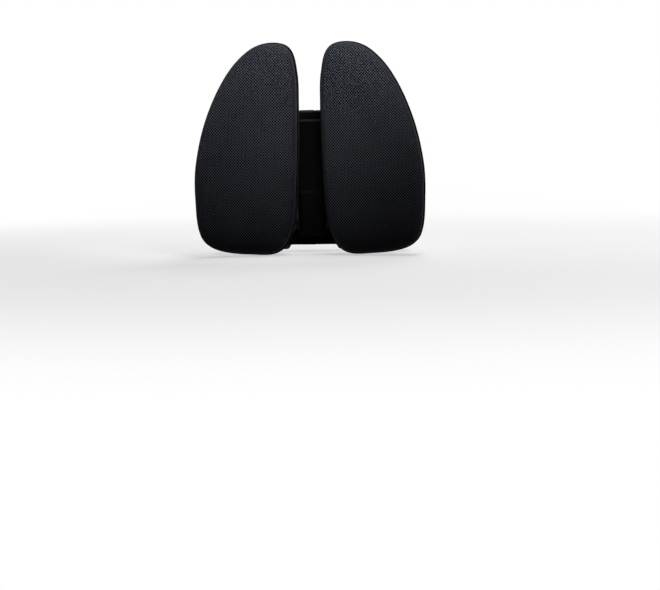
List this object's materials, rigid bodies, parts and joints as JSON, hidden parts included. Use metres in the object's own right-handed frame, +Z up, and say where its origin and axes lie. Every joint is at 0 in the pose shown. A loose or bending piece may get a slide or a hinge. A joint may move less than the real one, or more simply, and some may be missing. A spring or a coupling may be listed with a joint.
{
  "type": "chair back support",
  "caption": "Strap-on chair back support: egg-shaped mesh-covered pads on sprung vertical hinges either side of a spine frame, with buckled webbing loops that go round the chair back.",
  "frame": {"origin": "middle of the rear grip pad's face, which bears on the chair back", "axes": "+X to the right as seen from in front of the pads, +Y rearward into the chair back, +Z up"},
  "size_m": [0.3952, 0.1713, 0.364],
  "materials": {
    "mesh_fabric": "matte",
    "side_fabric": "matte",
    "shell_plastic": "satin",
    "frame_plastic": "matte",
    "board_plastic": "matte",
    "foam": "matte",
    "rubber": "matte",
    "webbing": "matte",
    "buckle_plastic": "satin",
    "steel": "satin",
    "spring_steel": "satin",
    "bush_plastic": "satin"
  },
  "bodies": {
    "spine": {"spine_frame": "frame_plastic", "spine_cover": "frame_plastic", "spine_screw_upper": "steel", "spine_screw_lower": "steel", "rear_grip_pad": "rubber", "upper_strap": "webbing", "upper_strap_end": "webbing", "upper_buckle_socket": "buckle_plastic", "lower_strap": "webbing", "lower_strap_end": "webbing", "lower_buckle_socket": "buckle_plastic", "right_hinge_pin": "steel", "right_hinge_clip": "spring_steel", "right_hinge_spring": "spring_steel", "left_hinge_pin": "steel", "left_hinge_clip": "spring_steel", "left_hinge_spring": "spring_steel"},
    "right_wing": {"right_wing_shell": "shell_plastic", "right_pad_board": "board_plastic", "right_foam_pad": "foam", "right_front_cover": "mesh_fabric", "right_side_band": "side_fabric", "right_edge_piping": "side_fabric", "right_bush_upper": "bush_plastic", "right_bush_lower": "bush_plastic", "right_wing_screw_1": "steel", "right_wing_screw_2": "steel", "right_wing_screw_3": "steel", "right_wing_screw_4": "steel"},
    "left_wing": {"left_wing_shell": "shell_plastic", "left_pad_board": "board_plastic", "left_foam_pad": "foam", "left_front_cover": "mesh_fabric", "left_side_band": "side_fabric", "left_edge_piping": "side_fabric", "left_bush_upper": "bush_plastic", "left_bush_lower": "bush_plastic", "left_wing_screw_1": "steel", "left_wing_screw_2": "steel", "left_wing_screw_3": "steel", "left_wing_screw_4": "steel"},
    "upper_plug": {"upper_buckle_plug": "buckle_plastic"},
    "lower_plug": {"lower_buckle_plug": "buckle_plastic"},
    "upper_keeper": {"upper_strap_keeper": "buckle_plastic"},
    "lower_keeper": {"lower_strap_keeper": "buckle_plastic"}
  },
  "joints": [
    {"name": "right_wing_swivel", "type": "hinge", "parent": "spine", "child": "right_wing", "pos_m": [0.034, -0.027, 0], "axis": [0, 0, 1], "range_deg": [-8, 14], "stiffness_Nm_per_rad": 3, "deforming": ["right_hinge_spring"]},
    {"name": "left_wing_swivel", "type": "hinge", "parent": "spine", "child": "left_wing", "pos_m": [-0.034, -0.027, 0], "axis": [0, 0, -1], "range_deg": [-8, 14], "stiffness_Nm_per_rad": 3, "deforming": ["left_hinge_spring"]},
    {"name": "upper_buckle_release", "type": "slide", "parent": "spine", "child": "upper_plug", "axis": [1, 0, 0], "range_m": [0, 0.024], "deforming": ["upper_strap_end", "upper_buckle_plug"]},
    {"name": "upper_keeper_slide", "type": "slide", "parent": "spine", "child": "upper_keeper", "axis": [1, 0, 0], "range_m": [-0.02, 0.012]},
    {"name": "lower_buckle_release", "type": "slide", "parent": "spine", "child": "lower_plug", "axis": [1, 0, 0], "range_m": [0, 0.024], "deforming": ["lower_strap_end", "lower_buckle_plug"]},
    {"name": "lower_keeper_slide", "type": "slide", "parent": "spine", "child": "lower_keeper", "axis": [1, 0, 0], "range_m": [-0.02, 0.012]}
  ]
}
